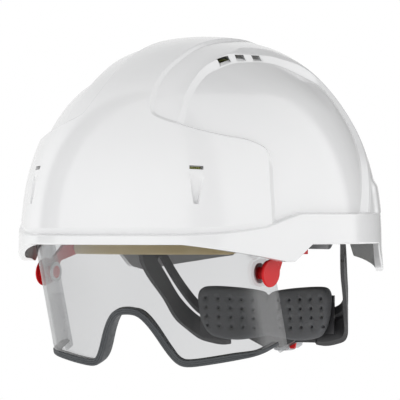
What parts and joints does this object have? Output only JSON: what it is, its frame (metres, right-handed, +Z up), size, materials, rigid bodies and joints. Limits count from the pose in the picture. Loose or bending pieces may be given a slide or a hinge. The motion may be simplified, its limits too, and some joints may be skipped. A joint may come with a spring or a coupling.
{
  "type": "safety helmet",
  "caption": "Vented hard hat with a retractable clear lens, webbing harness, sweatband and a dial-adjusted nape strap.",
  "frame": {"origin": "on the symmetry plane, level with the front brim's lower edge, above the middle of the head", "axes": "+Z up, -Y the way the wearer faces, +X to the wearer's left"},
  "size_m": [0.217, 0.278, 0.2109],
  "materials": {
    "white_shell": "polished white moulding",
    "clear_lens": "clear hard-coated polycarbonate",
    "seal_rubber": "soft moulded edge",
    "grey_plastic": "fine moulded texture",
    "black_plastic": "satin moulding",
    "knob_plastic": "satin moulding with grip flutes",
    "red_plastic": "glossy red moulding",
    "sweatband_cloth": "brushed absorbent cloth",
    "webbing": "woven tape",
    "pad_foam": "perforated foam",
    "steel": "plain"
  },
  "bodies": {
    "root": {"shell": "white_shell", "headband": "grey_plastic", "sweatband": "sweatband_cloth", "front_left_strap": "webbing", "front_right_strap": "webbing", "side_strap": "webbing", "nape_pad": "pad_foam", "nape_frame": "black_plastic", "ratchet_housing": "black_plastic", "ratchet_cover": "black_plastic", "ratchet_pawl": "red_plastic", "ratchet_screws": "steel", "left_hinge_pin": "steel", "right_hinge_pin": "steel", "left_friction_washer": "grey_plastic", "right_friction_washer": "grey_plastic", "left_hinge_bracket": "grey_plastic", "right_hinge_bracket": "grey_plastic", "left_harness_keys": "grey_plastic", "right_harness_keys": "grey_plastic"},
    "lens_arms": {"left_lens_arm": "red_plastic", "right_lens_arm": "red_plastic", "left_pivot_cap": "red_plastic", "right_pivot_cap": "red_plastic", "left_retaining_clip": "steel", "right_retaining_clip": "steel"},
    "lens": {"lens": "clear_lens", "lens_seal": "seal_rubber"},
    "knob": {"ratchet_knob": "knob_plastic", "ratchet_pinion": "grey_plastic"},
    "left_strap": {"left_nape_strap": "black_plastic"},
    "right_strap": {"right_nape_strap": "black_plastic"}
  },
  "joints": [
    {"name": "lens_swing", "type": "hinge", "parent": "root", "child": "lens_arms", "pos_m": [0, 0.03, 0.01], "axis": [-1, 0, 0], "range_deg": [0, 26]},
    {"name": "lens_tilt", "type": "hinge", "parent": "lens_arms", "child": "lens", "pos_m": [0, -0.0557, -0.018], "axis": [-1, 0, 0], "range_deg": [0, 4]},
    {"name": "ratchet_turn", "type": "hinge", "parent": "root", "child": "knob", "pos_m": [0, 0.1, -0.054], "axis": [0, 1, 0], "range_deg": [-60, 90]},
    {"name": "left_strap_travel", "type": "hinge", "parent": "root", "child": "left_strap", "pos_m": [0, 0.01, 0], "axis": [0, 0, 1], "range_deg": [-4, 6]},
    {"name": "right_strap_travel", "type": "hinge", "parent": "root", "child": "right_strap", "pos_m": [0, 0.01, 0], "axis": [0, 0, 1], "range_deg": [-6, 4]}
  ],
  "couplings": [
    {"joint": "left_strap_travel", "follows": "ratchet_turn", "ratio": 0.066667},
    {"joint": "right_strap_travel", "follows": "ratchet_turn", "ratio": -0.066667}
  ]
}
